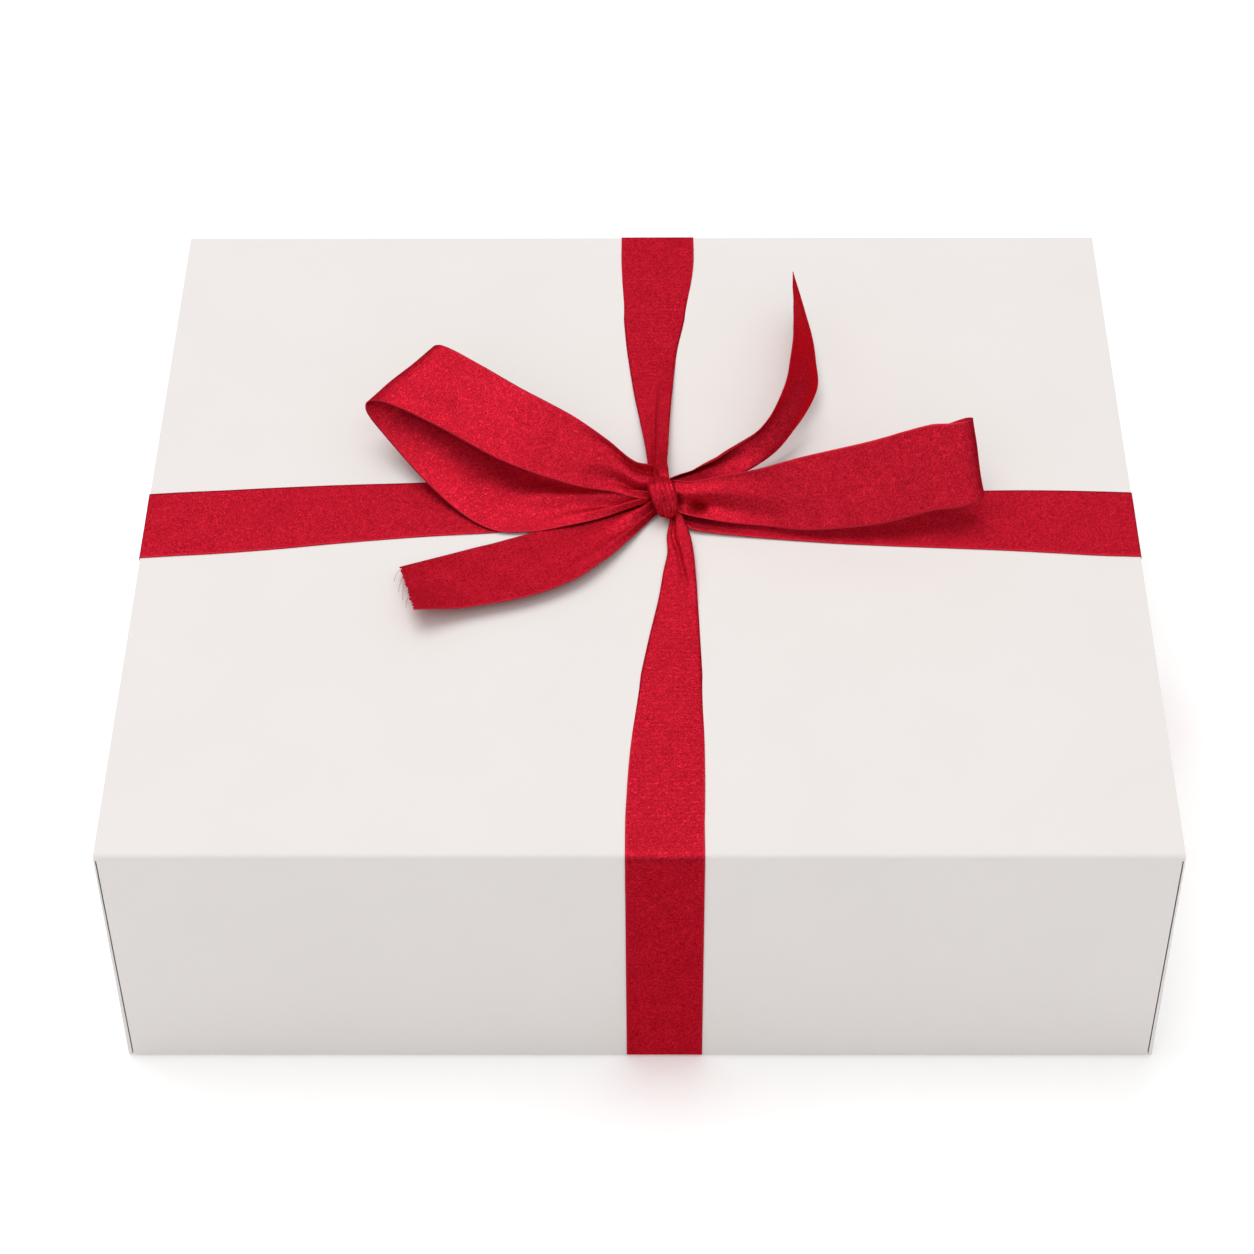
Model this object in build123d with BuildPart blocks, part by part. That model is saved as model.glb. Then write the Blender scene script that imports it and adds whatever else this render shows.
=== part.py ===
from build123d import *
import os

# Gift box with a lift-off lid and a tied satin ribbon.
# Millimetres, +Z up, origin at the middle of the underside. The front is at -Y.
# The tray stands on its base. The lid is as deep as the tray and drops over it.
# The ribbon is fixed to the lid: its four straps turn under the lid's rim and are taped inside.

# Overall sizes, over the lid's paper
box_width = 340.0
box_depth = 308.0
box_height = 101.0

# Sheet stock
paper = 0.2
stay_tape = 0.2
lid_board = 1.0
tray_board = 1.5
turn_in = 15.0

# Lid
rim_lift = 1.0
fold_radius = 2.0
corner_strip_top = 0.5
slit_width = 0.4

# Tray
lid_clearance = 1.2
seat_gap = 0.2
stay_leg = 20.0

# Ribbon
long_ribbon_width = 26.0
cross_ribbon_width = 32.0
cross_ribbon_y = -3.5
ribbon_gather = 11.0
ribbon_thickness = 0.35
strap_tuck = 20.0
strap_bend_radius = 0.3
tape_thickness = 0.2
tape_margin = 3.0
gather_start = 105.0

# Bow
knot_x = 8.0
knot_y = 5.0
knot_width = 12.0
knot_depth = 13.0
knot_height = 13.0
knot_rounding = 3.0
bow_gap = 0.5
bow_sheet = 1.0
bow_roll_radius = 3.8
strap_gap = 1.0

# Worked out from the sizes above
lining = stay_tape + paper
lid_wall = paper + lid_board + lining
tray_wall = paper + tray_board + lining
tray_width = box_width - 2 * (lid_wall + lid_clearance)
tray_depth = box_depth - 2 * (lid_wall + lid_clearance)
tray_height = box_height - lid_wall - seat_gap
lid_board_top = box_height - paper
lid_board_under = lid_board_top - lid_board
lid_inside_top = lid_board_under - lining
lid_lining_start = rim_lift + turn_in
tray_lining_end = tray_height - turn_in
knot_reach = knot_width / 2 + bow_gap
cross_start = ribbon_gather / 2 + strap_gap
cross_rise = knot_y - cross_ribbon_y
lid_board_rim = rim_lift + paper
tray_floor = paper + tray_board
lid_board_wall = paper + lid_board
corner_strip_bottom = lid_board_wall
knot_foot = Vector(knot_x, knot_y, box_height)

# The bow's ribbon edges: far edge and near edge at each station, as x and y from the knot's middle
# and height above the lid's top. The first station of each length stands beside the knot.
left_loop_upper = [
    ((-knot_reach, 6, 11), (-knot_reach, -1, 9)),
    ((-12, 8, 14), (-15, 0, 9)),
    ((-25, 18, 22), (-30, 1, 11)),
    ((-49, 30, 29), (-56, 7, 16)),
    ((-67, 40, 32), (-80, 21, 20)),
    ((-78, 45, 32), (-99, 31, 20)),
]
left_loop_return = [
    ((-knot_reach, 3, 7), (-knot_reach, -3, 6)),
    ((-12, -1, 7), (-17, -8, 5)),
    ((-24, -1, 7), (-33, -11, 3)),
    ((-32, -1, 5), (-46, -13, 2)),
    ((-46, 9, 6), (-68, -6, 2)),
    ((-60, 27, 14), (-81, 7, 5)),
    ((-74, 42, 27), (-98, 29, 14)),
]
right_loop_front = [
    ((knot_reach, 3, 11), (knot_reach, -3, 8)),
    ((13, 1, 13), (15, -10, 5)),
    ((28, 1, 17), (31, -12, 3)),
    ((47, 2, 22), (49, -14, 4)),
    ((70, 4, 27), (74, -14, 6)),
    ((91, 8, 30), (93, -11, 9)),
    ((102, 11, 30), (106, -8, 11)),
]
right_loop_return = [
    ((knot_reach, 5, 8), (knot_reach, 1, 6)),
    ((19, 8, 9), (19, 2, 3)),
    ((42, 16, 13), (44, 4, 3)),
    ((72, 24, 20), (74, 8, 4)),
    ((100, 17, 27), (103, -1, 7)),
]
left_tail = [
    ((-knot_reach, -1, 4), (-knot_reach, -6, 3)),
    ((-16, -6, 2), (-12, -18, 3)),
    ((-35, -14, 2), (-26, -37, 5)),
    ((-52, -18, 2), (-44, -47, 4)),
    ((-72, -25, 2), (-68, -54, 5)),
    ((-89, -33, 3), (-82, -59, 9)),
]
right_tail = [
    ((knot_reach, 5, 4.5), (knot_reach, 3, 2.5)),
    ((20, 14, 12), (23, 16, 4)),
    ((37, 25, 20), (44, 32, 5)),
    ((43, 39, 22), (55, 55, 8)),
    ((46, 63, 22), (53, 86, 5)),
    ((48, 102, 21), (49, 102, 3)),
]


def save(part, name):
    part.label = name
    export_step(part, f"parts/{name}.step")


def lid_block(inset, bottom, width):
    """The lid's outer form inside a skin of the given thickness, with its front fold rounded."""
    with BuildPart() as block:
        with BuildSketch(Plane.YZ) as section:
            with Locations((0, (box_height - inset) / 2)):
                Rectangle(box_depth - 2 * inset, box_height - inset)
            top_corners = section.vertices().group_by(Axis.Y)[-1].sort_by(Axis.X)
            fillet(top_corners[0], fold_radius - inset)
        extrude(amount=width / 2, both=True)
        with Locations((0, 0, bottom / 2)):
            Box(box_width, box_depth, bottom, mode=Mode.SUBTRACT)
    return block.part


def front_panel_block(side_gap, thickness):
    """The space of the front panel, which narrows from the fold to the rim between the side panels."""
    half_top = box_width / 2 - corner_strip_top - side_gap
    half_bottom = box_width / 2 - corner_strip_bottom - side_gap
    with BuildPart() as block:
        with BuildSketch(Plane.XZ.offset(box_depth / 2)):
            with BuildLine():
                Polyline(
                    (-half_top, box_height - fold_radius),
                    (half_top, box_height - fold_radius),
                    (half_bottom, 0),
                    (-half_bottom, 0),
                    close=True,
                )
            make_face()
        extrude(amount=-thickness)
    return block.part


def upright_frame(width, depth, thickness, bottom, top):
    """A four-sided upright frame of the given outer size."""
    with BuildPart() as frame:
        with BuildSketch(Plane.XY.offset(bottom)):
            Rectangle(width, depth)
            Rectangle(width - 2 * thickness, depth - 2 * thickness, mode=Mode.SUBTRACT)
        extrude(amount=top - bottom)
    return frame.part


def corner_stays(width, depth, bottom, top):
    """Four strips of gummed tape, each folded along its length into an inside corner."""
    with BuildPart() as stays:
        add(upright_frame(width, depth, stay_tape, bottom, top))
        with Locations((0, 0, (bottom + top) / 2)):
            Box(width - 2 * stay_leg, depth, top - bottom, mode=Mode.SUBTRACT)
            Box(width, depth - 2 * stay_leg, top - bottom, mode=Mode.SUBTRACT)
    return stays.part


def ribbon_limb(stations):
    """A flat length of the bow's ribbon, lofted through its stations."""
    edges = [(Vector(*far), Vector(*near)) for far, near in stations]
    middles = [(far + near) * 0.5 + knot_foot for far, near in edges]
    last = len(stations) - 1
    with BuildPart() as limb:
        for index, (far, near) in enumerate(edges):
            across = (far - near).normalized()
            along = middles[min(index + 1, last)] - middles[max(index - 1, 0)]
            square_on = along - across * along.dot(across)
            with BuildSketch(Plane(middles[index], x_dir=across, z_dir=square_on)):
                Rectangle((far - near).length, bow_sheet)
        loft(ruled=True)
    return limb.part


def loop_roll(outgoing_end, returning_end):
    """The rounded end of a loop, between the last stations of its two lengths."""
    ends = zip(outgoing_end, returning_end)
    far, near = [(Vector(*out) + Vector(*back)) * 0.5 + knot_foot for out, back in ends]
    with BuildPart() as roll:
        with BuildSketch(Plane(near, z_dir=far - near)):
            Circle(bow_roll_radius)
        extrude(amount=(far - near).length)
    return roll.part


def loop(outgoing, returning):
    """A loop of the bow: out from the knot, round the roll at its end, and back to the knot."""
    with BuildPart() as whole:
        add(ribbon_limb(outgoing))
        add(ribbon_limb(returning))
        add(loop_roll(outgoing[-1], returning[-1]))
    return whole.part


def strap(span, width, knot_side, knot_shift, fold):
    """One strap along +X: on the top from the knot, over the edge, down, under the rim and up inside."""
    outside = span / 2
    inside = outside - lid_wall - tape_thickness
    skin_top = box_height + ribbon_thickness
    with BuildPart() as band:
        with BuildSketch(Plane.XZ) as profile:
            with BuildLine():
                Polyline(
                    (knot_side, box_height),
                    (outside, box_height),
                    (outside, rim_lift),
                    (inside, rim_lift),
                    (inside, rim_lift + strap_tuck),
                    (inside - ribbon_thickness, rim_lift + strap_tuck),
                    (inside - ribbon_thickness, rim_lift - ribbon_thickness),
                    (outside + ribbon_thickness, rim_lift - ribbon_thickness),
                    (outside + ribbon_thickness, skin_top),
                    (knot_side, skin_top),
                    close=True,
                )
            make_face()
            top_corners = profile.vertices().sort_by_distance((outside, skin_top))[0:2].sort_by(Axis.Y)
            fillet(top_corners[1], fold + strap_bend_radius)
            if fold > 0:
                fillet(profile.vertices().sort_by_distance((outside, box_height))[0], fold)
        extrude(amount=width, both=True)
        with BuildSketch(Plane.XY):
            with BuildLine():
                Polyline(
                    (knot_side, knot_shift + ribbon_gather / 2),
                    (gather_start, width / 2),
                    (outside + ribbon_thickness, width / 2),
                    (outside + ribbon_thickness, -width / 2),
                    (gather_start, -width / 2),
                    (knot_side, knot_shift - ribbon_gather / 2),
                    close=True,
                )
            make_face()
        extrude(amount=skin_top, mode=Mode.INTERSECT)
    return band.part


os.makedirs("parts", exist_ok=True)

# Tray: five boards, their corner tape, the cover paper, the base paper and the lining
half_tray_width = tray_width / 2 - paper
half_tray_depth = tray_depth / 2 - paper
tray_board_top = tray_height - paper

with BuildPart() as tray_bottom_board:
    with Locations((0, 0, paper + tray_board / 2)):
        Box(2 * half_tray_width, 2 * half_tray_depth, tray_board)
save(tray_bottom_board.part, "tray_bottom_board")

for side, sign in (("left", -1), ("right", 1)):
    with BuildPart() as tray_side_board:
        with Locations((sign * (half_tray_width - tray_board / 2), 0, (tray_floor + tray_board_top) / 2)):
            Box(tray_board, 2 * half_tray_depth, tray_board_top - tray_floor)
    save(tray_side_board.part, f"tray_{side}_board")

for side, sign in (("front", -1), ("back", 1)):
    with BuildPart() as tray_end_board:
        with Locations((0, sign * (half_tray_depth - tray_board / 2), (tray_floor + tray_board_top) / 2)):
            Box(2 * (half_tray_width - tray_board), tray_board, tray_board_top - tray_floor)
    save(tray_end_board.part, f"tray_{side}_board")

tray_inside_width = 2 * (half_tray_width - tray_board)
tray_inside_depth = 2 * (half_tray_depth - tray_board)

with BuildPart() as tray_corner_stays:
    add(corner_stays(tray_inside_width, tray_inside_depth, tray_floor + lining, tray_lining_end))
save(tray_corner_stays.part, "tray_corner_stays")

with BuildPart() as tray_cover_paper:
    add(upright_frame(tray_width, tray_depth, paper, paper, tray_height))
    add(upright_frame(tray_width, tray_depth, tray_wall, tray_board_top, tray_height))
    add(upright_frame(tray_inside_width, tray_inside_depth, lining, tray_lining_end, tray_height))
save(tray_cover_paper.part, "tray_cover_paper")

with BuildPart() as tray_base_paper:
    with Locations((0, 0, paper / 2)):
        Box(tray_width, tray_depth, paper)
save(tray_base_paper.part, "tray_base_paper")

with BuildPart() as tray_lining:
    with Locations((0, 0, tray_floor + lining / 2)):
        Box(tray_inside_width, tray_inside_depth, lining)
    add(upright_frame(tray_inside_width, tray_inside_depth, lining, tray_floor, tray_lining_end))
    add(tray_corner_stays.part, mode=Mode.SUBTRACT)
save(tray_lining.part, "tray_lining")

# Lid: five boards under one fold of paper, with the side panels covered on their own
half_board_width = box_width / 2 - paper
half_board_depth = box_depth / 2 - paper
lid_inside_width = box_width - 2 * lid_board_wall
lid_inside_depth = box_depth - 2 * lid_board_wall

with BuildPart() as lid_top_board:
    add(lid_block(paper, lid_board_under, 2 * half_board_width))
save(lid_top_board.part, "lid_top_board")

with BuildPart() as lid_front_board:
    add(lid_block(paper, lid_board_rim, 2 * half_board_width))
    with Locations((0, lid_board_wall, (box_height + lid_board_under) / 2)):
        Box(box_width, box_depth, box_height - lid_board_under, mode=Mode.SUBTRACT)
    add(front_panel_block(slit_width, lid_board_wall), mode=Mode.INTERSECT)
save(lid_front_board.part, "lid_front_board")

with BuildPart() as lid_back_board:
    with Locations((0, half_board_depth - lid_board / 2, (lid_board_rim + lid_board_under) / 2)):
        Box(lid_inside_width, lid_board, lid_board_under - lid_board_rim)
save(lid_back_board.part, "lid_back_board")

for side, sign in (("left", -1), ("right", 1)):
    with BuildPart() as lid_side_board:
        add(lid_block(paper, lid_board_rim, 2 * half_board_width))
        with Locations((sign * (half_board_width - lid_board / 2), 0, (lid_board_rim + lid_board_under) / 2)):
            Box(lid_board, box_depth, lid_board_under - lid_board_rim, mode=Mode.INTERSECT)
        add(front_panel_block(0, lid_board_wall), mode=Mode.SUBTRACT)
    save(lid_side_board.part, f"lid_{side}_board")

with BuildPart() as lid_corner_stays:
    add(corner_stays(lid_inside_width, lid_inside_depth, lid_lining_start, lid_inside_top))
save(lid_corner_stays.part, "lid_corner_stays")

with BuildPart() as lid_main_paper:
    add(lid_block(0, rim_lift, box_width))
    add(lid_block(paper, lid_board_rim, box_width), mode=Mode.SUBTRACT)
    with Locations((0, 0, rim_lift + paper / 2)):
        Box(box_width, lid_inside_depth, paper, mode=Mode.SUBTRACT)
    with BuildPart(mode=Mode.PRIVATE) as beside_front_panel:
        with Locations((0, (lid_board_wall - box_depth) / 2, (box_height - fold_radius) / 2)):
            Box(box_width, lid_board_wall, box_height - fold_radius)
        add(front_panel_block(slit_width, lid_board_wall), mode=Mode.SUBTRACT)
    add(beside_front_panel.part, mode=Mode.SUBTRACT)
    turned_depth = (lid_inside_depth - lining) / 2
    with Locations((0, -turned_depth, rim_lift + turn_in / 2), (0, turned_depth, rim_lift + turn_in / 2)):
        Box(lid_inside_width - 2 * lining, lining, turn_in)
save(lid_main_paper.part, "lid_main_paper")

for side, sign in (("left", -1), ("right", 1)):
    with BuildPart() as lid_side_paper:
        add(lid_block(paper, rim_lift, box_width))
        with Locations((sign * (box_width - paper) / 2, 0, box_height / 2)):
            Box(paper, box_depth, box_height, mode=Mode.INTERSECT)
        with Locations((sign * (box_width - corner_strip_bottom) / 2, (paper - box_depth) / 2, 0)):
            Box(
                corner_strip_bottom,
                paper,
                box_height - fold_radius,
                align=(Align.CENTER, Align.CENTER, Align.MIN),
            )
        with Locations((sign * (box_width - lid_board_wall) / 2, 0, rim_lift + paper / 2)):
            Box(lid_board_wall, 2 * half_board_depth, paper)
        with Locations((sign * (lid_inside_width - lining) / 2, 0, rim_lift + turn_in / 2)):
            Box(lining, lid_inside_depth, turn_in)
        add(front_panel_block(0, lid_board_wall), mode=Mode.SUBTRACT)
        add(lid_main_paper.part, mode=Mode.SUBTRACT)
        with Locations((0, 0, rim_lift / 2)):
            Box(box_width, box_depth, rim_lift, mode=Mode.SUBTRACT)
    save(lid_side_paper.part, f"lid_{side}_paper")

with BuildPart() as lid_lining:
    with Locations((0, 0, lid_board_under - lining / 2)):
        Box(lid_inside_width, lid_inside_depth, lining)
    add(upright_frame(lid_inside_width, lid_inside_depth, lining, lid_lining_start, lid_board_under))
    add(lid_corner_stays.part, mode=Mode.SUBTRACT)
save(lid_lining.part, "lid_lining")

# Ribbon straps, each built along +X and turned to its side of the lid
straps = [
    ("front", box_depth, long_ribbon_width, -knot_y, 0, fold_radius, (knot_x, 0), -90),
    ("back", box_depth, long_ribbon_width, knot_y, 0, 0, (knot_x, 0), 90),
    ("left", box_width, cross_ribbon_width, cross_start - knot_x, -cross_rise, 0, (0, cross_ribbon_y), 180),
    ("right", box_width, cross_ribbon_width, cross_start + knot_x, cross_rise, 0, (0, cross_ribbon_y), 0),
]

for side, span, width, knot_side, knot_shift, fold, (x, y), turn in straps:
    with BuildPart() as ribbon_strap:
        with Locations(Location((x, y, 0), (0, 0, turn))):
            add(strap(span, width, knot_side, knot_shift, fold))
    save(ribbon_strap.part, f"{side}_strap")

with BuildPart() as strap_tapes:
    for side, span, width, knot_side, knot_shift, fold, (x, y), turn in straps:
        with Locations(Location((x, y, rim_lift + strap_tuck / 2), (0, 0, turn))):
            with Locations((span / 2 - lid_wall - tape_thickness / 2, 0)):
                Box(tape_thickness, width - 2 * tape_margin, strap_tuck - 2 * tape_margin)
save(strap_tapes.part, "strap_tapes")

# Bow, on top of the crossing straps
with BuildPart() as bow_knot:
    with Locations((knot_x, knot_y, box_height + ribbon_thickness + knot_height / 2)):
        Box(knot_width, knot_depth, knot_height)
    fillet(bow_knot.edges(), knot_rounding)
save(bow_knot.part, "bow_knot")

save(loop(left_loop_upper, left_loop_return), "bow_left_loop")
save(loop(right_loop_front, right_loop_return), "bow_right_loop")
save(ribbon_limb(left_tail), "bow_left_tail")
save(ribbon_limb(right_tail), "bow_right_tail")
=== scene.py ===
import math

import bmesh
import bpy
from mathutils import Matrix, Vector, noise


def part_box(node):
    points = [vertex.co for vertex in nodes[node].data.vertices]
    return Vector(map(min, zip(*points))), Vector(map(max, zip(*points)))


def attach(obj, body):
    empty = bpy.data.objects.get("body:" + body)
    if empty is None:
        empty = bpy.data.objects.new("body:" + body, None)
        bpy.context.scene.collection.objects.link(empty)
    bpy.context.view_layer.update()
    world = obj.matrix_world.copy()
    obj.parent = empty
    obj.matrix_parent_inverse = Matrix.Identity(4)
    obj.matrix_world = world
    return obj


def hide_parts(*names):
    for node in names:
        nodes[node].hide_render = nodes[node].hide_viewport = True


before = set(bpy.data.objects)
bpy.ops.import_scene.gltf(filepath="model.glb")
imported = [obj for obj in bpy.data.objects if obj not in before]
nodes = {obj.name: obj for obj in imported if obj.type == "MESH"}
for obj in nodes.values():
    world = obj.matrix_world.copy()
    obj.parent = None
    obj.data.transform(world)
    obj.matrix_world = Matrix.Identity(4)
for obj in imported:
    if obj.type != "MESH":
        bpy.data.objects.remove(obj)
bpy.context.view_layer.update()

# Camera: a short telephoto in front of the box, looking down at it by about 45 degrees,
# with the small tilt of a camera held by hand.
camera_data = bpy.data.cameras.new("camera")
camera_data.lens = 93.8
camera_data.sensor_width = 36
camera_data.clip_start = 0.05
camera_data.clip_end = 100
camera = bpy.data.objects.new("camera", camera_data)
camera.location = (0.0047, -0.8199, 0.8710)
camera.rotation_euler = [math.radians(angle) for angle in (44.882, 0.351, 0.310)]
bpy.context.scene.collection.objects.link(camera)
bpy.context.scene.camera = camera

# Studio: a white surround that darkens towards the horizon, one large soft box overhead, a little
# behind and to the left, so that the shadows are short and soft, and a weaker one in front.
bpy.context.scene.view_settings.view_transform = "Standard"
world = bpy.data.worlds.new("white_surround")
world.use_nodes = True
surround = world.node_tree
surround.nodes["Background"].inputs["Color"].default_value = (1, 1, 1, 1)
direction = surround.nodes.new("ShaderNodeTexCoord")
height = surround.nodes.new("ShaderNodeSeparateXYZ")
off_horizon = surround.nodes.new("ShaderNodeMath")
off_horizon.operation = "ABSOLUTE"
brightness = surround.nodes.new("ShaderNodeMapRange")
brightness.inputs["From Min"].default_value = 0.0
brightness.inputs["From Max"].default_value = 0.8
brightness.inputs["To Min"].default_value = 0.065
brightness.inputs["To Max"].default_value = 0.78
surround.links.new(direction.outputs["Generated"], height.inputs[0])
surround.links.new(height.outputs["Z"], off_horizon.inputs[0])
surround.links.new(off_horizon.outputs[0], brightness.inputs["Value"])
surround.links.new(brightness.outputs["Result"], surround.nodes["Background"].inputs["Strength"])
bpy.context.scene.world = world
for name, size, watts, place in (
    ("soft_box", 3.2, 78, (-0.7, 1.1, 4.1)),
    ("front_box", 4.0, 38, (-0.4, -3.2, 3.4)),
):
    light = bpy.data.lights.new(name, "AREA")
    light.shape = "SQUARE"
    light.size = size
    light.energy = watts
    box = bpy.data.objects.new(name, light)
    box.location = place
    box.rotation_euler = (-box.location).to_track_quat("-Z", "Y").to_euler()
    bpy.context.scene.collection.objects.link(box)


# Floor: a seamless sheet of matt white background paper, far wider than the picture.
def linear(code):
    """The linear colour, with alpha, of an sRGB hex code."""
    channels = [int(code[i : i + 2], 16) / 255 for i in (1, 3, 5)]
    return [c / 12.92 if c <= 0.04045 else ((c + 0.055) / 1.055) ** 2.4 for c in channels] + [1]


def add_node(material, kind, inputs={}, **settings):
    """Adds a shader node; an input is given by its name or number, as a value or another node's socket."""
    node = material.node_tree.nodes.new(kind)
    for key, value in settings.items():
        setattr(node, key, value)
    for key, value in inputs.items():
        if isinstance(value, bpy.types.NodeSocket):
            material.node_tree.links.new(value, node.inputs[key])
        else:
            node.inputs[key].default_value = value
    return node


def new_material(name):
    """An empty node material and its Principled shader."""
    material = bpy.data.materials.new(name)
    material.use_nodes = True
    return material, material.node_tree.nodes["Principled BSDF"]


# matt white background paper, blown out by the studio light
floor_material, floor_shader = new_material("background_paper_matt")
floor_shader.inputs["Base Color"].default_value = linear("#FDFDFD")
floor_shader.inputs["Roughness"].default_value = 0.9
floor_shader.inputs["Specular IOR Level"].default_value = 0.1
floor_shader.inputs["Emission Color"].default_value = (1, 1, 1, 1)
floor_shader.inputs["Emission Strength"].default_value = 0.15
floor_mesh = bpy.data.meshes.new("floor")
floor_build = bmesh.new()
bmesh.ops.create_grid(floor_build, x_segments=1, y_segments=1, size=40)
floor_build.to_mesh(floor_mesh)
floor_build.free()
floor_mesh.materials.append(floor_material)
floor = bpy.data.objects.new("floor", floor_mesh)
bpy.context.scene.collection.objects.link(floor)
# glossy rays pass through the floor, so that the satin on the walls mirrors the dimmer surround
floor.visible_glossy = False

# Cover paper of the lid and the tray: smooth warm-white uncoated paper glued over the boards.
# Its tone drifts by about one part in a hundred over centimetres, with a faint fibre tooth.
cover_paper, cover_shader = new_material("cover_paper_uncoated_white")
paper_place = add_node(cover_paper, "ShaderNodeTexCoord").outputs["Object"]
paper_drift = add_node(
    cover_paper, "ShaderNodeTexNoise", {"Vector": paper_place, "Scale": 28, "Detail": 3}
)
paper_tone = add_node(
    cover_paper,
    "ShaderNodeMix",
    {0: paper_drift.outputs["Fac"], 6: linear("#E5E0DD"), 7: linear("#E9E4E1")},
    data_type="RGBA",
)
cover_paper.node_tree.links.new(paper_tone.outputs[2], cover_shader.inputs["Base Color"])
paper_tooth = add_node(
    cover_paper, "ShaderNodeTexNoise", {"Vector": paper_place, "Scale": 2600, "Detail": 2}
)
paper_bump = add_node(
    cover_paper,
    "ShaderNodeBump",
    {"Height": paper_tooth.outputs["Fac"], "Strength": 0.06, "Distance": 0.0001},
)
cover_paper.node_tree.links.new(paper_bump.outputs["Normal"], cover_shader.inputs["Normal"])
cover_shader.inputs["Roughness"].default_value = 0.62
cover_shader.inputs["Specular IOR Level"].default_value = 0.3
for name in (
    "lid_main_paper",
    "lid_left_paper",
    "lid_right_paper",
    "tray_cover_paper",
    "tray_base_paper",
):
    nodes[name].data.materials[0] = cover_paper

# Lining paper inside the lid and the tray: the same white, duller and a little greyer.
lining_paper, lining_shader = new_material("lining_paper_matt_white")
lining_place = add_node(lining_paper, "ShaderNodeTexCoord").outputs["Object"]
lining_drift = add_node(
    lining_paper, "ShaderNodeTexNoise", {"Vector": lining_place, "Scale": 60, "Detail": 4}
)
lining_tone = add_node(
    lining_paper,
    "ShaderNodeMix",
    {0: lining_drift.outputs["Fac"], 6: linear("#DAD6D2"), 7: linear("#E0DCD8")},
    data_type="RGBA",
)
lining_paper.node_tree.links.new(lining_tone.outputs[2], lining_shader.inputs["Base Color"])
lining_shader.inputs["Roughness"].default_value = 0.8
for name in ("lid_lining", "tray_lining"):
    nodes[name].data.materials[0] = lining_paper

# Boards: grey recycled cardboard, seen only as cut edges; flecked with darker fibres.
greyboard, greyboard_shader = new_material("greyboard_recycled_cardboard")
board_place = add_node(greyboard, "ShaderNodeTexCoord").outputs["Object"]
board_flecks = add_node(
    greyboard, "ShaderNodeTexNoise", {"Vector": board_place, "Scale": 900, "Detail": 5}
)
board_tone = add_node(
    greyboard,
    "ShaderNodeMix",
    {0: board_flecks.outputs["Fac"], 6: linear("#7E7870"), 7: linear("#A8A198")},
    data_type="RGBA",
)
greyboard.node_tree.links.new(board_tone.outputs[2], greyboard_shader.inputs["Base Color"])
greyboard_shader.inputs["Roughness"].default_value = 0.9
for name in nodes:
    if name.endswith("_board"):
        nodes[name].data.materials[0] = greyboard

# Corner stays: gummed brown kraft tape folded into each corner.
kraft_tape, kraft_shader = new_material("kraft_tape_gummed_brown")
kraft_place = add_node(kraft_tape, "ShaderNodeTexCoord").outputs["Object"]
kraft_fibres = add_node(
    kraft_tape, "ShaderNodeTexNoise", {"Vector": kraft_place, "Scale": 700, "Detail": 5}
)
kraft_tone = add_node(
    kraft_tape,
    "ShaderNodeMix",
    {0: kraft_fibres.outputs["Fac"], 6: linear("#8A653F"), 7: linear("#A67F55")},
    data_type="RGBA",
)
kraft_tape.node_tree.links.new(kraft_tone.outputs[2], kraft_shader.inputs["Base Color"])
kraft_shader.inputs["Roughness"].default_value = 0.7
for name in ("lid_corner_stays", "tray_corner_stays"):
    nodes[name].data.materials[0] = kraft_tape

# Strap tapes: clear double-sided tape that holds the strap ends inside the lid.
clear_tape, tape_shader = new_material("clear_tape_matt_film")
tape_place = add_node(clear_tape, "ShaderNodeTexCoord").outputs["Object"]
tape_haze = add_node(
    clear_tape, "ShaderNodeTexNoise", {"Vector": tape_place, "Scale": 350, "Detail": 3}
)
tape_tone = add_node(
    clear_tape,
    "ShaderNodeMix",
    {0: tape_haze.outputs["Fac"], 6: linear("#D8D5CE"), 7: linear("#E4E1DA")},
    data_type="RGBA",
)
clear_tape.node_tree.links.new(tape_tone.outputs[2], tape_shader.inputs["Base Color"])
tape_shader.inputs["Roughness"].default_value = 0.35
nodes["strap_tapes"].data.materials[0] = clear_tape

# Front strap: red satin ribbon. It comes out from under the knot folded to a third of its width,
# opens out by the front fold, runs down the wall, turns under the rim and is taped inside.
satin, satin_shader = new_material("polyester_satin_red")
cloth = add_node(satin, "ShaderNodeUVMap", uv_map="cloth").outputs["UV"]
satin_place = add_node(satin, "ShaderNodeTexCoord").outputs["Object"]
edge_distance = add_node(satin, "ShaderNodeAttribute", attribute_name="edge_distance").outputs["Fac"]
# short worm-like grain of the weave, a little under a millimetre across
grain = add_node(
    satin,
    "ShaderNodeTexNoise",
    {"Vector": satin_place, "Scale": 1250, "Detail": 2, "Distortion": 2.2},
)
# soft ribs across the ribbon, wandering and about 2 mm apart
ribs = add_node(
    satin,
    "ShaderNodeTexWave",
    {"Vector": cloth, "Scale": 160, "Distortion": 2.5, "Detail": 2, "Detail Scale": 4},
    bands_direction="Y",
)
patches = add_node(
    satin, "ShaderNodeTexNoise", {"Vector": satin_place, "Scale": 120, "Detail": 3}
)
grain_mix = add_node(
    satin,
    "ShaderNodeMapRange",
    {"Value": grain.outputs["Fac"], "From Min": 0.40, "From Max": 0.63, "To Min": 0, "To Max": 1},
)
tone_sum = add_node(
    satin,
    "ShaderNodeMath",
    {0: grain_mix.outputs["Result"], 1: 0.74, 2: 0.02},
    operation="MULTIPLY_ADD",
)
tone_with_patches = add_node(
    satin,
    "ShaderNodeMath",
    {0: patches.outputs["Fac"], 1: 0.22, 2: tone_sum.outputs[0]},
    operation="MULTIPLY_ADD",
)
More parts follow.
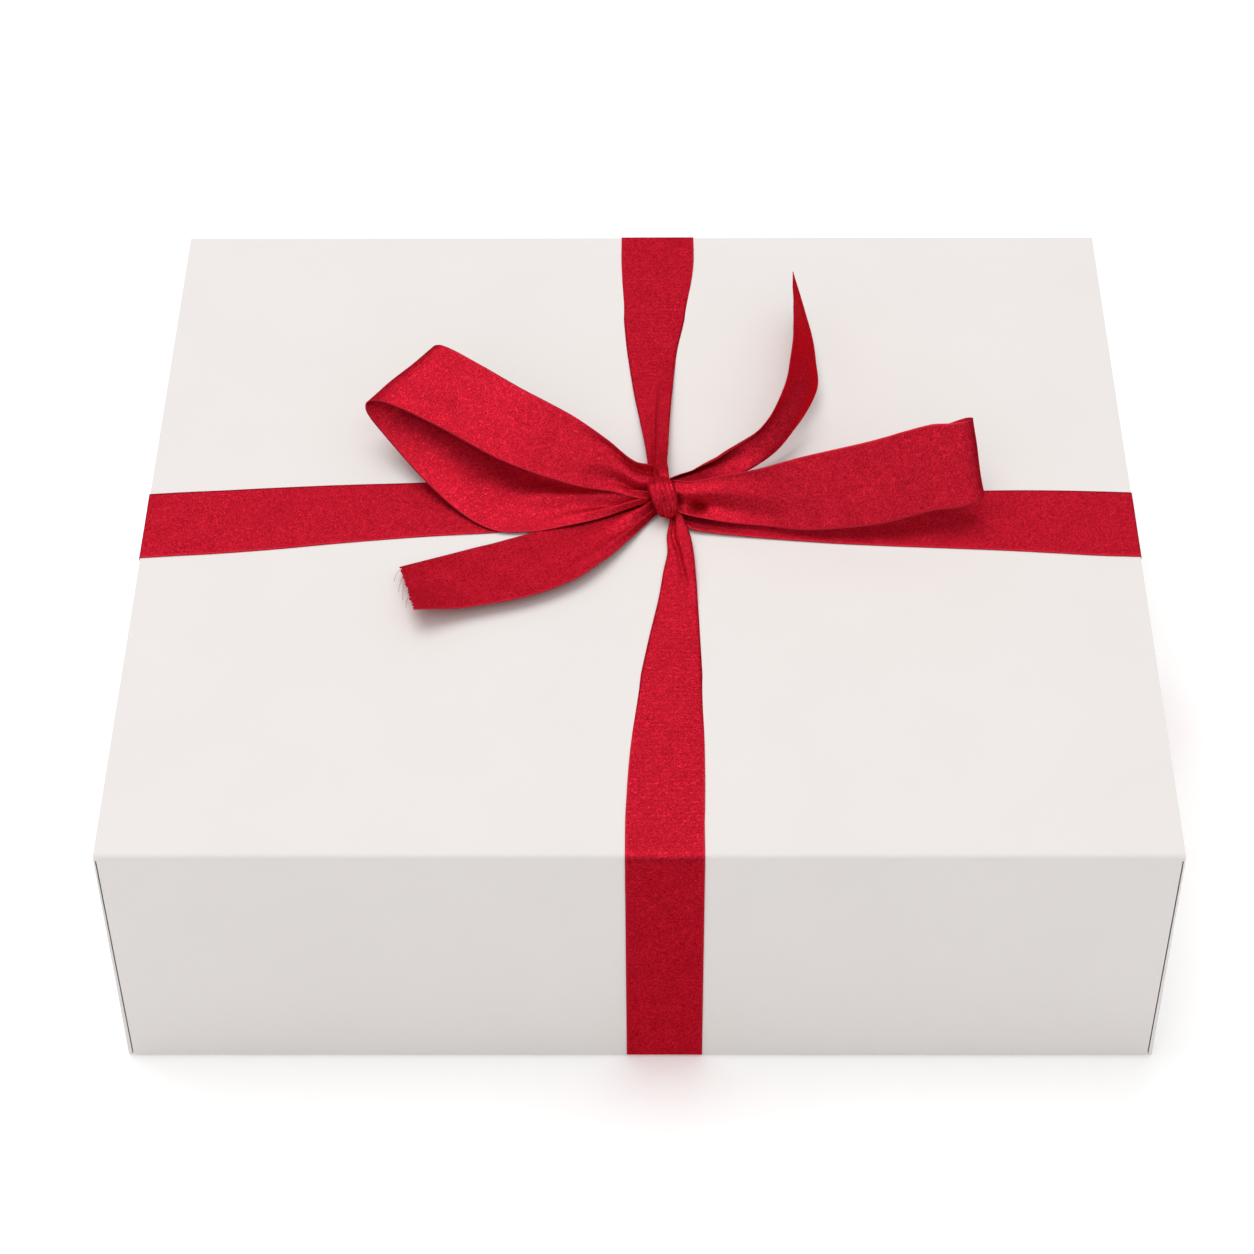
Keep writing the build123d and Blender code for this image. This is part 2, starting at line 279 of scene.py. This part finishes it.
satin_tone = add_node(
    satin,
    "ShaderNodeMix",
    {0: tone_with_patches.outputs[0], 6: linear("#980B1D"), 7: linear("#E8293F")},
    data_type="RGBA",
)
# the selvedge: a cord about half a millimetre wide along each edge, painted paler as a painted highlight
# along the edge
selvedge_highlight_mask = add_node(
    satin,
    "ShaderNodeMapRange",
    {"Value": edge_distance, "From Min": 0.0004, "From Max": 0.0008, "To Min": 1, "To Max": 0},
)
# mixes the painted edge highlight, a paler red, into the satin's colour along both edges
selvedge_highlight_tone = add_node(
    satin,
    "ShaderNodeMix",
    {0: selvedge_highlight_mask.outputs["Result"], 6: satin_tone.outputs[2], 7: linear("#C4283A")},
    data_type="RGBA",
)
satin.node_tree.links.new(selvedge_highlight_tone.outputs[2], satin_shader.inputs["Base Color"])
weave = add_node(
    satin,
    "ShaderNodeMath",
    {0: ribs.outputs["Fac"], 1: 0.35, 2: grain_mix.outputs["Result"]},
    operation="MULTIPLY_ADD",
)
satin_bump = add_node(
    satin,
    "ShaderNodeBump",
    {"Height": weave.outputs[0], "Strength": 0.65, "Distance": 0.0001},
)
satin.node_tree.links.new(satin_bump.outputs["Normal"], satin_shader.inputs["Normal"])
satin_shader.inputs["Metallic"].default_value = 0.65
satin_shader.inputs["Roughness"].default_value = 0.36
satin_shader.inputs["Specular IOR Level"].default_value = 0.0
satin_shader.inputs["Specular Tint"].default_value = linear("#F03040")

mm = 0.001
knot_low, knot_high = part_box("bow_knot")
lid_low, lid_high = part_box("lid_main_paper")
foot = Vector(((knot_low.x + knot_high.x) / 2, (knot_low.y + knot_high.y) / 2, lid_high.z))
ribbon_thickness = 0.3 * mm


def smooth_between(points, position):
    """The point at a position along a Catmull-Rom curve through the points, which are evenly numbered."""
    index = min(int(position), len(points) - 2)
    t = position - index
    before = points[max(index - 1, 0)]
    start = points[index]
    end = points[index + 1]
    after = points[min(index + 2, len(points) - 1)]
    gap = max((end - start).length, 1e-6)
    gap_before = max((start - before).length, 1e-6) if index > 0 else gap
    gap_after = max((after - end).length, 1e-6) if index + 2 < len(points) else gap
    leave = (end - before) * (gap / (gap + gap_before)) if index > 0 else end - start
    arrive = (after - start) * (gap / (gap + gap_after)) if index + 2 < len(points) else end - start
    return (
        start * (2 * t**3 - 3 * t**2 + 1)
        + leave * (t**3 - 2 * t**2 + t)
        + end * (3 * t**2 - 2 * t**3)
        + arrive * (t**3 - t**2)
    )


def pleated(across, wide, width, waves, phase=0.0, lean=0.0):
    """Spare cloth taken up in soft waves: the place across, 0 to 1, and the rise in mm."""
    spare = max(0.0, 1 - wide / width) ** 1.3
    turn = 2 * math.pi * waves * across + phase
    rise = 0.85 * width / (4 * waves) * spare * math.sin(turn)
    return across + lean * spare * math.sin(2 * turn) / (4 * math.pi * waves), rise, across


def tucked(column, wide, width, left_share, layer=0.6):
    """Spare cloth turned under both edges: the place across, the rise in mm and the cloth's share."""
    spare = max(width - wide, 0.0)
    left = max(spare * left_share, 0.02 * width)
    right = max(spare * (1 - left_share), 0.02 * width)
    open_part = width - left - right
    turned = 0.2  # of the columns, on either side of the open part
    if column < turned:
        cloth = left * column / turned
    elif column < 1 - turned:
        cloth = left + open_part * (column - turned) / (1 - 2 * turned)
    else:
        cloth = left + open_part + right * (column - 1 + turned) / turned
    run = (cloth - left) / open_part
    present = min(1.0, spare / 5)
    folded = (math.acos(0.998 * math.cos(math.pi * run)) / math.pi - 0.02) / 0.96
    place = folded * present + cloth / width * (1 - present)
    soft = 0.7 / open_part
    under_left = sum(0.5 + 0.5 * math.tanh((-run - k) / soft) for k in range(3))
    under_right = sum(0.5 + 0.5 * math.tanh((run - 1 - k) / soft) for k in range(3))
    return place, -layer * present * (under_left + 1.2 * under_right), cloth / width


def ribbon(name, stations, width, shape, ripple=0.3, seed=0, rest=None, step=1.0, columns=40, ragged=0.0):
    """A length of satin ribbon through its stations, each the two edges in mm from the knot's foot.

    shape(run, across, wide) gives the place across, the rise in mm and the share of the cloth."""
    firsts = [foot + Vector(station[0]) * mm for station in stations]
    seconds = [foot + Vector(station[1]) * mm for station in stations]
    positions = []
    for index in range(len(stations) - 1):
        gaps = [(line[index + 1] - line[index]).length for line in (firsts, seconds)]
        rows = max(1, round(max(gaps) / (step * mm)))
        positions += [index + k / rows for k in range(rows)]
    positions.append(len(stations) - 1)
    last = len(positions) - 1
    first_line = [smooth_between(firsts, position) for position in positions]
    second_line = [smooth_between(seconds, position) for position in positions]
    middles = [(one + other) / 2 for one, other in zip(first_line, second_line)]
    run = [0.0]
    for index in range(last):
        run.append(run[-1] + (middles[index + 1] - middles[index]).length)
    build = bmesh.new()
    uv = build.loops.layers.uv.new("cloth")
    edge_layer = build.verts.layers.float.new("edge_distance")
    bmesh.ops.create_grid(build, x_segments=columns, y_segments=last, size=0.5)
    flat = {}
    for vertex in build.verts:
        across = vertex.co.x + 0.5
        row = round((vertex.co.y + 0.5) * last)
        side = second_line[row] - first_line[row]
        along = middles[min(row + 1, last)] - middles[max(row - 1, 0)]
        up = along.cross(side).normalized()
        share, rise, across = shape(run[row] / mm, across, side.length / mm)
        wander = noise.noise(Vector((across * 1.3 + seed * 7.1, run[row] * 38, seed * 3.3)))
        wander += 0.4 * noise.noise(Vector((across * 3.1 + seed * 2.7, run[row] * 110, seed)))
        place = first_line[row] + side * share + up * (rise + ripple * wander) * mm
        if row == last:
            fray = noise.noise(Vector((across * 31, seed * 5.5, 0)))
            place += along.normalized() * fray * ragged * mm
        # cloth that would lie lower than 0.4 mm over its rest is pressed together above it
        if rest is not None and place.z < foot.z + (rest + 0.4) * mm:
            sunk = (foot.z + (rest + 0.4) * mm - place.z) / mm
            place.z = foot.z + (rest + 0.4 / (1 + 2.5 * sunk)) * mm
        flat[vertex] = (across * width * mm, run[row])
        vertex.co = place
        vertex[edge_layer] = min(across, 1 - across) * width * mm
    for face in build.faces:
        face.smooth = True
        for loop in face.loops:
            loop[uv].uv = flat[loop.vert]
    bmesh.ops.recalc_face_normals(build, faces=build.faces)
    mesh = bpy.data.meshes.new(name)
    build.to_mesh(mesh)
    build.free()
    mesh.materials.append(satin)
    made = bpy.data.objects.new(name, mesh)
    bpy.context.scene.collection.objects.link(made)
    thick = made.modifiers.new("cloth_thickness", "SOLIDIFY")
    thick.thickness = ribbon_thickness
    thick.offset = 0
    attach(made, "lid")
    return made


def rounded(corners, steps=6):
    """Points along a polyline whose corners (distance out, height, radius) are rounded."""
    points = []
    for index, (out, height, radius) in enumerate(corners):
        here = Vector((out, height))
        if radius == 0:
            points.append(here)
            continue
        arriving = (Vector(corners[index - 1][:2]) - here).normalized()
        leaving = (Vector(corners[index + 1][:2]) - here).normalized()
        middle = here + (arriving + leaving) * radius
        for k in range(steps + 1):
            angle = math.pi / 2 * k / steps
            turned = leaving * math.cos(angle) + arriving * math.sin(angle)
            points.append(middle - turned * radius)
    return points


def strap_end(reach, fold, middle, width, direction, slant=0.0):
    """The stations of a strap over the lid's edge, down, under the rim and up to its taped end."""
    skin = 0.18  # from the paper to the middle of the cloth
    lead_in = 14
    rim = 0.8 - lid_high.z / mm
    inside = reach - 1.8 - skin  # past the lid's wall and the tape
    tuck = 19.7
    path = rounded(
        [
            (reach - lead_in, skin, 0),
            (reach + skin, skin, fold + skin),
            (reach + skin, rim, 0.7),
            (inside, rim, 0.7),
            (inside, rim + tuck, 0),
        ]
    )
    square = Vector((-direction[1], direction[0], 0))
    stations = []
    for index, point in enumerate(path):
        pieces = 1
        if index + 1 < len(path):
            pieces = max(1, int((path[index + 1] - point).length / 12))
        for k in range(pieces):
            here = point.lerp(path[min(index + 1, len(path) - 1)], k / pieces)
            shifted = middle - slant * max(0, reach - max(here.x, reach - lead_in)) * (here.y > 0)
            centre = Vector((direction[0], direction[1], 0)) * here.x + square * shifted
            centre += Vector((-foot.x / mm, -foot.y / mm, here.y))
            stations.append((centre - square * width / 2, centre + square * width / 2))
    return stations


def front_shape(run, across, wide):
    """Both edges tucked under; the right part lies over the left as far as 48 mm from the knot."""
    share, rise, cloth = tucked(across, wide, 25, 0.55)
    crease = 0.30 + 0.019 * max(0.0, run - 16)
    fade = min(1.0, max(0.0, (50 - run) / 14))
    over = 0.5 + 0.5 * math.tanh((share - crease) / 0.05)
    gap = 2.8 * max(0.0, 1 - run / 46) * math.exp(-(((share - crease) / 0.08) ** 2))
    top = rise > -0.45
    return share, rise + 1.2 * max(0.0, 1 - run / 100) + (1.0 * over - gap) * fade * top, cloth


front_stations = [
    ((1.5, 0, 3.2), (4.6, 0, 3.2)),
    ((2.4, -7.5, 1.6), (6.4, -7, 1.6)),
    ((1.3, -15.5, 0.6), (8.8, -14.5, 0.6)),
    ((1.5, -23.2, 0.4), (10.1, -23.2, 0.4)),
    ((0.2, -31.7, 0.3), (10.7, -31.8, 0.3)),
    ((-1.5, -44.9, 0.2), (11.3, -44.9, 0.2)),
    ((-4.9, -64.5, 0.2), (12.0, -64.5, 0.2)),
    ((-9.0, -91.9, 0.2), (12.9, -91.9, 0.2)),
    ((-11.2, -118.4, 0.2), (13.1, -118.4, 0.2)),
    ((-12.1, -138, 0.2), (12.9, -138, 0.2)),
]
front_end = strap_end(-lid_low.y / mm, 2.0, 8.2, 25, (0, -1))
front_strap = ribbon("front_ribbon", front_stations + front_end, 25, front_shape, 0.06, 1, step=1.2)
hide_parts("front_strap")

# Back strap: the same ribbon from the back edge. It rises to the top of the knot in a tight
# roll with one pleat lying over its right side.
def back_shape(run, across, wide):
    """Both edges tucked under; the right part lies over the left as far as 75 mm from the knot."""
    share, rise, cloth = tucked(across, wide, 27, 0.5)
    crease = 0.74 - 0.0073 * max(0.0, run - 8)
    fade = min(1.0, max(0.0, (78 - run) / 25))
    over = 0.5 + 0.5 * math.tanh((crease - share) / 0.05)
    gap = 1.4 * math.exp(-(((share - crease) / 0.09) ** 2)) * max(0.0, 1 - run / 66)
    top = rise > -0.45
    return share, rise + 1.2 * max(0.0, 1 - run / 120) + (1.1 * over - gap) * fade * top, cloth


back_stations = [
    ((2.2, 1.0, 7.6), (-2.6, 1.0, 7.6)),
    ((1.8, 6.5, 8.2), (-3.4, 6.5, 8.2)),
    ((1.3, 15.3, 5.3), (-5.1, 15.3, 5.3)),
    ((1.7, 26.9, 2.6), (-6.0, 26.9, 2.6)),
    ((2.5, 46, 1.0), (-8.4, 46, 1.0)),
    ((3.3, 59, 0.6), (-10.2, 59, 0.6)),
    ((5.0, 82.2, 0.2), (-12.7, 82.2, 0.2)),
    ((7.3, 96.8, 0.2), (-13.8, 96.8, 0.2)),
    ((9.5, 111.4, 0.2), (-14.6, 111.4, 0.2)),
    ((11.0, 125, 0.2), (-15.0, 125, 0.2)),
]
back_end = strap_end(lid_high.y / mm, 0.2, -6.2, 27, (0, 1))
back_strap = ribbon("back_ribbon", back_stations + back_end, 27, back_shape, 0.06, 2, step=1.2)
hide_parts("back_strap")

# Left strap: the wider 32 mm ribbon of the cross band, drawn together under the bow.
def cross_shape(run, across, wide):
    """Spare cloth in three low pleats near the knot."""
    share, rise, cloth = pleated(across, wide, 32, 3, 0.6)
    low = min(1.0, 0.25 + wide / 60) * (0.4 * abs(rise) + 0.25 * rise) * max(0, 1 - run / 70)
    return share, low, cloth


left_stations = [
    ((-3, 2.5, 1.2), (-3, -2.5, 1.2)),
    ((-22, 12, 0.9), (-22, -7, 0.9)),
    ((-50, 14, 0.5), (-50, -12, 0.5)),
    ((-82.5, 12.6, 0.2), (-82.5, -14.7, 0.2)),
    ((-111, 11.4, 0.2), (-111, -17.9, 0.2)),
    ((-131, 10.2, 0.2), (-131, -20.6, 0.2)),
    ((-152, 8.7, 0.2), (-152, -22.9, 0.2)),
]
left_end = strap_end(-lid_low.x / mm, 0.2, 4.1, 31.8, (-1, 0), 0.083)
left_strap = ribbon("left_ribbon", left_stations + left_end, 32, cross_shape, 0.06, 3, step=1.5)
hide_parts("left_strap")

# Right strap: the other half of the cross band, which spreads out as soon as it leaves the knot.
right_stations = [
    ((3, -3, 1.2), (3, 2.5, 1.2)),
    ((8.8, -11.8, 1.4), (9, 4, 0.9)),
    ((17, -13.8, 1.0), (17, 4.6, 0.8)),
    ((36, -16, 0.5), (36, 6, 0.5)),
    ((64, -18.6, 0.3), (64, 7, 0.3)),
    ((116, -21.6, 0.2), (116, 8.3, 0.2)),
    ((133, -22.9, 0.2), (133, 8.3, 0.2)),
]
right_end = strap_end(lid_high.x / mm, 0.2, -3.7, 32, (1, 0), -0.042)
right_strap = ribbon("right_ribbon", right_stations + right_end, 32, cross_shape, 0.06, 4, step=1.5)
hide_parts("right_strap")

# Bow, left loop: 28 mm ribbon out from the knot, round a skewed end and back beneath itself.
def left_loop_shape(run, across, wide):
    """Pleats that gather at the knot; waves of unequal height."""
    bend = 0.7 * math.sin(run / 9)
    share, rise, cloth = pleated(across, wide, 28, 1.7, 2.2 + bend, 0.5)
    ridge = 3.6 * math.exp(-(((across - 0.36) / 0.2) ** 2))
    ridge *= min(1.0, max(0.0, (run - 148) / 25)) * min(1.0, max(0.3, (222 - run) / 30))
    return share, rise * (0.8 + 0.4 * math.sin(9 * across + 1)) - ridge, cloth


left_loop_stations = [
    ((-3.4, 8.7, 11.4), (-3.2, -1.2, 5.0)),
    ((-9.7, 8.6, 13.4), (-8.6, -1.0, 5.4)),
    ((-19.0, 13.7, 19.0), (-16.5, 0.4, 6.8)),
    ((-31.0, 20.6, 24.0), (-31.0, 0.4, 10.2)),
    ((-49.1, 29.5, 29.0), (-55.0, 6.2, 16.0)),
    ((-67.0, 40.3, 33.0), (-79.0, 20.5, 20.0)),
    ((-76.5, 46.0, 34.2), (-96.0, 29.0, 22.5)),
    ((-80.2, 48.0, 32.0), (-103.0, 32.6, 20.0)),
    ((-79.5, 47.2, 28.6), (-103.5, 31.8, 16.4)),
    ((-75.1, 43.0, 24.0), (-98.5, 27.0, 11.5)),
    ((-60.2, 27.2, 13.0), (-81.3, 7.2, 4.5)),
    ((-46.0, 14.5, 5.2), (-67.8, -6.2, 1.8)),
    ((-38.0, 12.0, 3.0), (-57.3, -12.7, 1.4)),
    ((-31.4, 8.5, 2.6), (-45.6, -13.4, 1.6)),
    ((-24.0, 7.2, 2.8), (-33.0, -11.5, 2.9)),
    ((-16.0, 5.4, 3.2), (-21.7, -8.2, 3.1)),
    ((-9.0, 3.4, 3.8), (-11.4, -4.6, 3.8)),
    ((-3.4, 1.4, 4.2), (-4.4, -2.4, 4.2)),
]
left_loop = ribbon("bow_left_loop_ribbon", left_loop_stations, 28, left_loop_shape, 0.5, 5, 0.5)
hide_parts("bow_left_loop")

# Bow, right loop: the same ribbon, its front length turned to face forwards.
def right_loop_shape(run, across, wide):
    """Pleats that gather at the knot, with one deep dimple in the lower half beside it."""
    bend = 0.6 * math.sin(run / 8)
    share, rise, cloth = pleated(across, wide, 28, 1.5, 0.8 + bend, 0.4)
    dimple = 3.8 * math.exp(-(((run - 9.0) / 2.2) ** 2) - ((across - 0.72) / 0.12) ** 2)
    bulge = 1.3 * math.exp(-(((run - 4.5) / 2.2) ** 2) - ((across - 0.70) / 0.2) ** 2)
    return share, rise * (0.4 + 0.5 * across) + dimple - bulge, cloth


right_loop_stations = [
    ((3.0, 3.6, 10.0), (3.2, -4.8, 3.4)),
    ((9.9, 1.5, 11.2), (9.4, -7.0, 2.8)),
    ((20.0, 0.7, 14.4), (21.5, -9.4, 2.2)),
    ((32.6, 0.3, 18.0), (34.0, -11.4, 2.2)),
    ((46.6, 1.6, 22.0), (49.4, -14.5, 3.0)),
    ((70.3, 4.2, 27.0), (73.8, -14.7, 6.0)),
    ((90.8, 9.2, 30.0), (92.5, -11.2, 9.0)),
    ((98.0, 9.0, 30.8), (101.0, -10.6, 9.8)),
    ((103.4, 9.8, 31.2), (107.6, -8.6, 11.0)),
    ((105.4, 12.2, 30.4), (109.4, -5.6, 11.0)),
    ((103.2, 14.2, 28.6), (107.0, -3.4, 9.6)),
    ((96.5, 13.8, 26.0), (100.0, -3.0, 7.4)),
    ((72, 12.5, 18.5), (74, 0.5, 3.6)),
    ((42, 9, 12.0), (44, -1.0, 2.2)),
    ((19, 4.6, 9.0), (19, 0.0, 2.4)),
    ((2.4, 3.6, 7.0), (2.4, 0.0, 4.6)),
]
right_loop = ribbon("bow_right_loop_ribbon", right_loop_stations, 28, right_loop_shape, 0.5, 6, 0.5)
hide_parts("bow_right_loop")

# Bow, left tail: lies forward over the lid, its cut end lifted at the near corner and frayed,
# with a few loose threads 0.14 mm thick.
def left_tail_shape(run, across, wide):
    """Folded by the knot, with its near edge rolled over, and flat further out."""
    share, rise, cloth = pleated(across, wide, 28, 1, -0.9, 0.3)
    roll = 1.7 * math.exp(-(((across - 0.80) / 0.09) ** 2)) * max(0.0, 1 - run / 42)
    return share, 0.5 * rise + roll, cloth


left_tail_stations = [
    ((-3.0, 0.8, 4.4), (-1.6, -4.6, 3.4)),
    ((-8.0, -2.4, 3.6), (-6.4, -10.4, 3.0)),
    ((-17, -4.0, 1.8), (-12.7, -20.0, 3.4)),
    ((-27, -7.0, 1.3), (-20, -30.0, 4.0)),
    ((-37, -10.6, 1.2), (-29, -39.2, 4.5)),
    ((-53, -17.0, 1.2), (-44, -47.5, 4.5)),
    ((-72, -25, 1.8), (-68, -54.6, 5.5)),
    ((-89, -32.6, 3), (-82.4, -58.9, 9)),
]
left_tail = ribbon(
    "bow_left_tail_ribbon", left_tail_stations, 28, left_tail_shape, 0.5, 7, 0.4, columns=80, ragged=0.8
)
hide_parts("bow_left_tail")
thread_curve = bpy.data.curves.new("bow_left_tail_threads", "CURVE")
thread_curve.dimensions = "3D"
thread_curve.bevel_depth = 0.07 * mm
thread_curve.bevel_resolution = 1
for thread in (
    ((-87.0, -37.0, 4.2), (-88.6, -40.0, 3.8), (-88.8, -44.0, 2.6)),
    ((-86.6, -40.0, 4.8), (-87.6, -43.5, 4.0), (-87.2, -47.5, 2.2)),
    ((-88.4, -33.4, 3.2), (-90.2, -35.6, 3.2), (-90.6, -38.6, 2.2)),
    ((-84.4, -50.0, 7.0), (-85.8, -52.4, 6.6), (-85.6, -54.8, 5.6)),
):
    spline = thread_curve.splines.new("NURBS")
    spline.points.add(2)
    for point, place in zip(spline.points, thread):
        point.co = (*(foot + Vector(place) * mm), 1)
    spline.use_endpoint_u = True
    spline.order_u = 3
thread_curve.materials.append(satin)
threads = bpy.data.objects.new("bow_left_tail_threads", thread_curve)
bpy.context.scene.collection.objects.link(threads)
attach(threads, "lid")

# Bow, right tail: runs to the back, standing on its edge by its cut end, which is cut aslant.
def right_tail_shape(run, across, wide):
    """Folded double by the knot and opening out."""
    share, rise, cloth = pleated(across, wide, 28, 1, 0.4, 0.3)
    return share, 1.3 * rise, cloth


right_tail_stations = [
    ((2.0, 6.0, 6.4), (2.6, 4.4, 3.2)),
    ((5.6, 9.2, 6.6), (7.5, 7.2, 3.2)),
    ((11.4, 11.6, 7.0), (14.5, 9.8, 3.4)),
    ((20.0, 13.6, 10.0), (25.0, 13.6, 3.6)),
    ((34.5, 21.0, 17.2), (42.0, 27.6, 4.4)),
    ((42.4, 38.0, 21.6), (54.6, 52.0, 7.2)),
    ((44.8, 53.0, 22.2), (54.8, 71.0, 6.6)),
    ((46.2, 65.0, 22.4), (53.2, 88.5, 6.6)),
    ((46.8, 79.0, 22.2), (47.8, 110.5, 14.5)),
]
right_tail = ribbon(
    "bow_right_tail_ribbon", right_tail_stations, 28, right_tail_shape, 0.4, 8, 0.4, columns=80, ragged=1.2
)
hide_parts("bow_right_tail")

# Bow, knot: the ribbon's middle drawn round the crossing in one tight turn, its cloth crushed
# into lengthwise folds.
knot_build = bmesh.new()
knot_uv = knot_build.loops.layers.uv.new("cloth")
knot_edge = knot_build.verts.layers.float.new("edge_distance")
bmesh.ops.create_grid(knot_build, x_segments=110, y_segments=120, size=0.5)
knot_flat = {}
knot_middle = Vector((0.2, -1.6, 6.7))
# each crease: its place across, from -1 to 1, its depth in mm and its breadth
knot_creases = (
    (-0.70, 0.35, 0.07),
    (-0.42, 0.30, 0.05),
    (-0.18, 0.50, 0.06),
    (0.10, 0.28, 0.05),
    (0.34, 0.42, 0.05),
    (0.62, 0.60, 0.08),
)
for vertex in knot_build.verts:
    across = vertex.co.x * 2
    # from the back, over the top, down the front and back beneath
    turn = math.tau * (vertex.co.y + 0.5)
    side = math.copysign(abs(math.sin(across * math.pi / 2)) ** 0.9, across)
    folds = 0.0
    for index, (middle, depth, breadth) in enumerate(knot_creases):
        drift = 0.17 * math.sin(turn + 0.9 * index) * (1 - side**2)
        strength = 0.65 + 0.35 * math.sin(turn + 1.7 * index)
        folds += depth * strength * math.exp(-(((side - middle - drift) / breadth) ** 2))
    crown = math.cos(across * math.pi / 2) ** 0.5 if abs(across) < 0.999 else 0.0
    fullness = 0.6 + 0.4 * crown
    lump = 0.7 * noise.noise(Vector((side * 1.4, math.cos(turn) * 1.3, math.sin(turn) * 1.3)))
    deep = (7.0 + 0.9 * max(0.0, math.cos(turn))) * fullness - folds + lump
    high = 6.6 * fullness - folds + lump
    # widest just in front of the top, leaning to the right downwards, with a full lower front
    broad = 0.5 + 0.5 * math.cos(turn - math.radians(115))
    half_width = 1.3 + 3.5 * broad**0.9
    lean = 1.3 * math.sin(turn - math.radians(135))
    deep += 1.6 * math.exp(-(((turn - math.radians(215)) / 0.6) ** 2))
    place = Vector((lean + half_width * side, deep * math.cos(turn), high * math.sin(turn)))
    vertex.co = foot + (knot_middle + place) * mm
    knot_flat[vertex] = (across * 0.014, turn * 0.006)
    vertex[knot_edge] = 0.004
for face in knot_build.faces:
    face.smooth = True
    for loop in face.loops:
        loop[knot_uv].uv = knot_flat[loop.vert]
bmesh.ops.remove_doubles(knot_build, verts=knot_build.verts, dist=0.02 * mm)
bmesh.ops.recalc_face_normals(knot_build, faces=knot_build.faces)
knot_mesh = bpy.data.meshes.new("bow_knot_ribbon")
knot_build.to_mesh(knot_mesh)
knot_build.free()
knot_mesh.materials.append(satin)
knot = bpy.data.objects.new("bow_knot_ribbon", knot_mesh)
bpy.context.scene.collection.objects.link(knot)
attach(knot, "lid")
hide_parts("bow_knot")
